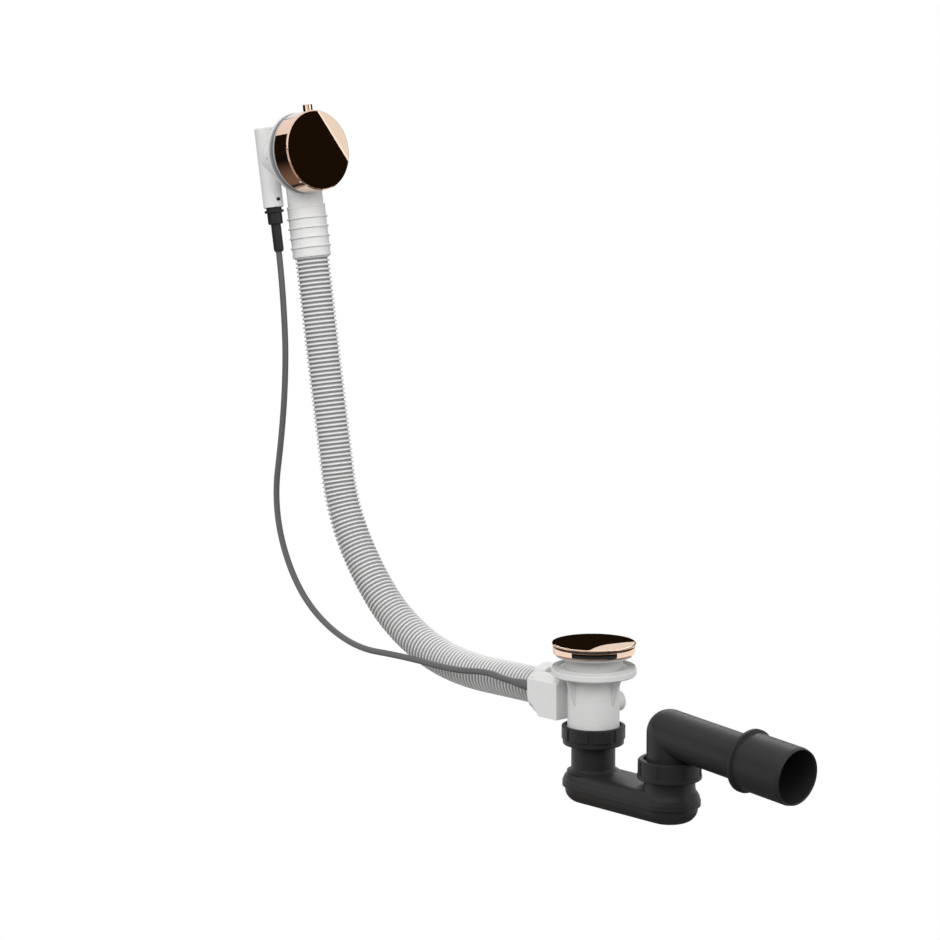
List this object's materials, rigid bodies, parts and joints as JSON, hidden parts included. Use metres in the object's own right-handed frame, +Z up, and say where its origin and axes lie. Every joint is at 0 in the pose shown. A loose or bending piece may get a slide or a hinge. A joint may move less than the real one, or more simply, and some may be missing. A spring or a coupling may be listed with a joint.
{
  "type": "bath waste and overflow",
  "caption": "Bath waste and overflow: a turning overflow knob works a pop-up plug through a cable, beside a ribbed hose, over a low trap with a sloping outlet pipe.",
  "frame": {"origin": "centre of the drain's upper seal face, where the underside of the bath's floor sits", "axes": "+Z up through the bath's floor, +X along the outlet pipe, the overflow on the -X side"},
  "size_m": [0.68, 0.0768, 0.5946],
  "materials": {
    "rose_gold": "polished, rose gold plated",
    "white_plastic": "satin moulded",
    "hose_plastic": "satin corrugated",
    "black_plastic": "satin moulded",
    "grey_plastic": "satin moulded",
    "cable_grey": "satin extruded",
    "seal_grey": "matt",
    "seal_pale": "matt",
    "steel": "plain",
    "lever_plastic": "satin moulded"
  },
  "bodies": {
    "fixed": {"adapter_seal": "seal_grey", "cable_jacket": "cable_grey", "column_cap": "white_plastic", "cone_washer": "seal_grey", "ferrule": "cable_grey", "flange_seal": "seal_pale", "front_flange": "white_plastic", "gland_nut": "grey_plastic", "hose": "hose_plastic", "hose_tail": "white_plastic", "hose_washer": "seal_grey", "housing_screws": "steel", "inner_wire": "steel", "lever_box": "white_plastic", "nut_1": "black_plastic", "nut_2": "black_plastic", "outlet_adapter": "black_plastic", "outlet_elbow": "black_plastic", "overflow_body": "white_plastic", "overflow_screws": "steel", "overflow_seal": "seal_grey", "rack_housing": "white_plastic", "riser_washer": "seal_grey", "shaft_oring": "seal_grey", "side_plug": "white_plastic", "sleeve": "white_plastic", "spindle_oring": "seal_grey", "strain_relief": "grey_plastic", "trap_lower": "black_plastic", "trap_upper": "black_plastic", "trim_flange": "rose_gold", "trim_neck": "white_plastic", "trim_seal": "seal_pale", "union_nut": "white_plastic", "waste_body": "white_plastic"},
    "knob": {"knob_cap": "rose_gold", "knob_hub": "white_plastic", "knob_pin": "rose_gold", "spindle": "steel", "pinion": "white_plastic"},
    "rack_slide": {"rack": "white_plastic", "rack_wire": "steel"},
    "pull_rod": {"pull_rod": "steel"},
    "lever": {"lever_shaft": "steel", "cable_arm": "lever_plastic", "lift_arm": "lever_plastic"},
    "plug": {"plug_lid": "rose_gold", "lid_seal": "seal_grey", "plug_stem": "steel", "lock_nut": "lever_plastic", "stem_foot": "lever_plastic"}
  },
  "joints": [
    {"name": "knob_turn", "type": "hinge", "parent": "fixed", "child": "knob", "pos_m": [-0.36705, 0, 0.4316], "axis": [-0.9846, 0, -0.1749], "range_deg": [0, 50]},
    {"name": "rack_rise", "type": "slide", "parent": "fixed", "child": "rack_slide", "axis": [-0.1749, 0, 0.9846], "range_m": [0, 0.00699]},
    {"name": "rod_pull", "type": "slide", "parent": "fixed", "child": "pull_rod", "axis": [-1, 0, 0], "range_m": [0, 0.00699]},
    {"name": "lever_turn", "type": "hinge", "parent": "fixed", "child": "lever", "pos_m": [-0.034, 0, -0.043], "axis": [0, -1, 0], "range_deg": [0, 23.8]},
    {"name": "plug_lift", "type": "slide", "parent": "fixed", "child": "plug", "axis": [0, 0, 1], "range_m": [0, 0.014]}
  ],
  "couplings": [
    {"joint": "rack_rise", "follows": "knob_turn", "m_per_rad": 0.008},
    {"joint": "rod_pull", "follows": "knob_turn", "m_per_rad": 0.008},
    {"joint": "lever_turn", "follows": "knob_turn", "ratio": 0.47396},
    {"joint": "plug_lift", "follows": "knob_turn", "m_per_rad": 0.016}
  ]
}
